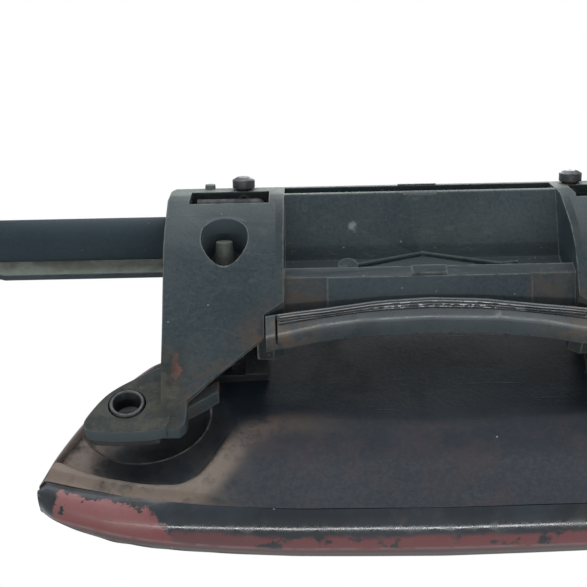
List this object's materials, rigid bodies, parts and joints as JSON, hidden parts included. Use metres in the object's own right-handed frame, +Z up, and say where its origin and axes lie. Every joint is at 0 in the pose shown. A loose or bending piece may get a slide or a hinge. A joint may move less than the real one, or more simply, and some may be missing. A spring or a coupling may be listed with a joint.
{
  "type": "car door handle",
  "caption": "Lift-flap exterior car door handle: painted flap hinged on a hollow plastic carrier, with a transfer lever shaft and rod clip.",
  "frame": {"origin": "centre of the carrier's upper seat pad, on the outer face that rests on the door skin", "axes": "+X along the handle towards the lever end, +Y into the door, +Z up the door; the painted flap faces -Y"},
  "size_m": [0.2255, 0.055, 0.1056],
  "materials": {
    "carrier_plastic": "matte, dusty",
    "guard_plastic": "satin black",
    "rubber_black": "matte",
    "steel": "dulled",
    "red_paint": "gloss red, worn",
    "liner_black": "satin black, dusty",
    "nylon_natural": "matte",
    "lever_black": "satin"
  },
  "bodies": {
    "carrier": {"carrier_frame": "carrier_plastic", "finger_guard": "guard_plastic", "guard_gasket": "rubber_black", "rim_stud_left": "steel", "rim_stud_right": "steel", "stop_peg": "carrier_plastic", "hinge_pin": "steel", "return_spring": "steel", "shaft_bearing": "nylon_natural", "lug_insert_left": "steel", "lug_gasket_left": "rubber_black", "stop_pad_left": "rubber_black", "pin_clip_left": "steel", "lug_insert_right": "steel", "lug_gasket_right": "rubber_black", "stop_pad_right": "rubber_black", "pin_clip_right": "steel"},
    "flap": {"flap_skin": "red_paint", "flap_liner": "liner_black", "hinge_arm_left": "lever_black", "hinge_bush_left": "nylon_natural", "arm_screw_left": "steel", "hinge_arm_right": "lever_black", "hinge_bush_right": "nylon_natural", "arm_screw_right": "steel"},
    "transfer": {"transfer_shaft": "steel", "lever_sleeve": "lever_black", "paddle": "lever_black", "counterweight": "steel", "end_crank": "nylon_natural"},
    "clip": {"rod_clip": "nylon_natural"}
  },
  "joints": [
    {"name": "flap_hinge", "type": "hinge", "parent": "carrier", "child": "flap", "pos_m": [0, 0.0062, -0.03], "axis": [-1, 0, 0], "range_deg": [0, 36], "stiffness_Nm_per_rad": 0.2, "springref_deg": -20.05},
    {"name": "transfer_turn", "type": "hinge", "parent": "carrier", "child": "transfer", "pos_m": [0.08, 0.0177, -0.013], "axis": [1, 0, 0], "range_deg": [0, 25.2]},
    {"name": "clip_swivel", "type": "hinge", "parent": "transfer", "child": "clip", "pos_m": [0.1202, 0.0302, -0.001], "axis": [1, 0, 0], "range_deg": [-40, 40]}
  ],
  "couplings": [
    {"joint": "transfer_turn", "follows": "flap_hinge", "ratio": 0.7}
  ]
}
